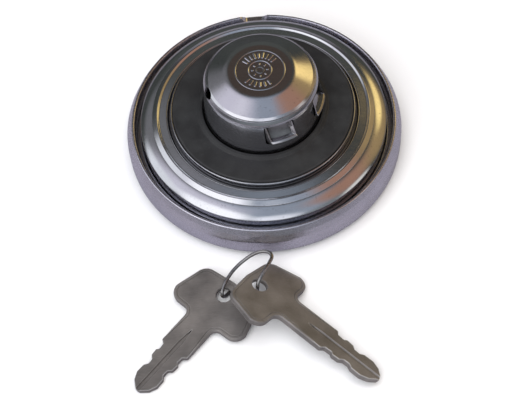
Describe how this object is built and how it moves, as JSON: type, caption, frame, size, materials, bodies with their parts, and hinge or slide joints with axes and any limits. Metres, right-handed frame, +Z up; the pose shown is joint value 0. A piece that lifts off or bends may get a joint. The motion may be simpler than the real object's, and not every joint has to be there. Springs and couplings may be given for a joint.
{
  "type": "locking filler cap",
  "caption": "Round chromed locking filler cap lying outer face down, with a latch cup, black gasket, snap latches and loose keys on a wire ring.",
  "frame": {"origin": "centre of the whole set's footprint, on the surface that the cap's outer face and the keys lie on", "axes": "+Z up, along the cap's axis from its outer face towards its latch cup; +Y from the keys towards the cap; +X to the right when the keys are in front"},
  "size_m": [0.1002, 0.1522, 0.042],
  "materials": {
    "cover_chrome": "satin chrome plating on the pressed steel cover, slightly lilac grey",
    "bright_chrome": "bright mirror chrome plating on pressed steel",
    "gasket_rubber": "black rubber, moulded smooth with a dull sheen",
    "spring_steel": "blue-grey spring steel",
    "zinc_plated_steel": "zinc plated steel with a fine brushed grain",
    "latch_steel": "polished stamped steel with bright sheared edges",
    "die_cast_zinc": "grey die-cast zinc alloy",
    "brass": "machined brass",
    "key_nickel": "satin nickel plating on brass, with rubbed edges",
    "ring_wire": "bright drawn spring wire"
  },
  "bodies": {
    "cap": {"outer_cover": "cover_chrome", "wave_spring": "spring_steel", "inner_pan": "bright_chrome", "seat_ring": "bright_chrome", "gasket_retainer": "bright_chrome", "gasket": "gasket_rubber", "stack_rivet_1": "zinc_plated_steel", "stack_rivet_2": "zinc_plated_steel", "stack_rivet_3": "zinc_plated_steel", "stack_rivet_4": "zinc_plated_steel", "latch_cup": "bright_chrome", "lock_housing": "die_cast_zinc", "lock_nut": "brass", "lock_bezel": "bright_chrome", "shutter_pivot": "zinc_plated_steel", "shutter_washer": "spring_steel", "latch_guide": "zinc_plated_steel", "guide_screw_1": "zinc_plated_steel", "guide_screw_2": "zinc_plated_steel", "latch_spring_left": "spring_steel", "latch_spring_right": "spring_steel"},
    "plug": {"lock_plug": "brass", "plug_clip": "spring_steel", "cam_disc": "zinc_plated_steel", "cam_screw": "zinc_plated_steel", "wafer_spring_1": "spring_steel", "wafer_spring_2": "spring_steel", "wafer_spring_3": "spring_steel", "wafer_spring_4": "spring_steel"},
    "wafers": {"wafer_1": "brass", "wafer_2": "brass", "wafer_3": "brass", "wafer_4": "brass"},
    "front_latch": {"latch_front": "latch_steel"},
    "rear_latch": {"latch_rear": "latch_steel"},
    "shutter": {"keyhole_shutter": "bright_chrome"},
    "ring": {"key_ring": "ring_wire"},
    "key_a": {"key_a": "key_nickel"},
    "key_b": {"key_b": "key_nickel"}
  },
  "joints": [
    {"name": "plug_turn", "type": "hinge", "parent": "cap", "child": "plug", "pos_m": [0.00006, 0.02609, 0.012], "axis": [0, 0, 1], "range_deg": [0, 90]},
    {"name": "wafer_slide", "type": "slide", "parent": "plug", "child": "wafers", "axis": [0, 1, 0], "range_m": [-0.0007, 0], "stiffness_N_per_m": 60, "springref_m": 0.002, "deforming": ["wafer_spring_1", "wafer_spring_2", "wafer_spring_3", "wafer_spring_4"]},
    {"name": "front_latch_slide", "type": "slide", "parent": "cap", "child": "front_latch", "axis": [0.6947, -0.7193, 0], "range_m": [-0.00245, 0], "deforming": ["latch_spring_left", "latch_spring_right"]},
    {"name": "rear_latch_slide", "type": "slide", "parent": "cap", "child": "rear_latch", "axis": [-0.6947, 0.7193, 0], "range_m": [-0.00245, 0]},
    {"name": "shutter_swing", "type": "hinge", "parent": "cap", "child": "shutter", "pos_m": [0.00006, 0.03509, 0.0012], "axis": [0, 0, 1], "range_deg": [0, 45]},
    {"name": "key_set_lift", "type": "slide", "parent": "cap", "child": "ring", "axis": [0, 0, 1], "range_m": [0, 0.05]},
    {"name": "key_a_swing", "type": "hinge", "parent": "ring", "child": "key_a", "pos_m": [-0.01844, -0.03941, 0.0029], "axis": [-0.0279, -0.0289, 0.9992], "range_deg": [-28, 0]},
    {"name": "key_b_swing", "type": "hinge", "parent": "ring", "child": "key_b", "pos_m": [-0.00664, -0.04031, 0.0078], "axis": [0.3757, 0.2471, 0.8932], "range_deg": [-30, 0]}
  ],
  "couplings": [
    {"joint": "front_latch_slide", "follows": "plug_turn", "m_per_rad": -0.0015279},
    {"joint": "rear_latch_slide", "follows": "plug_turn", "m_per_rad": -0.0015279}
  ]
}
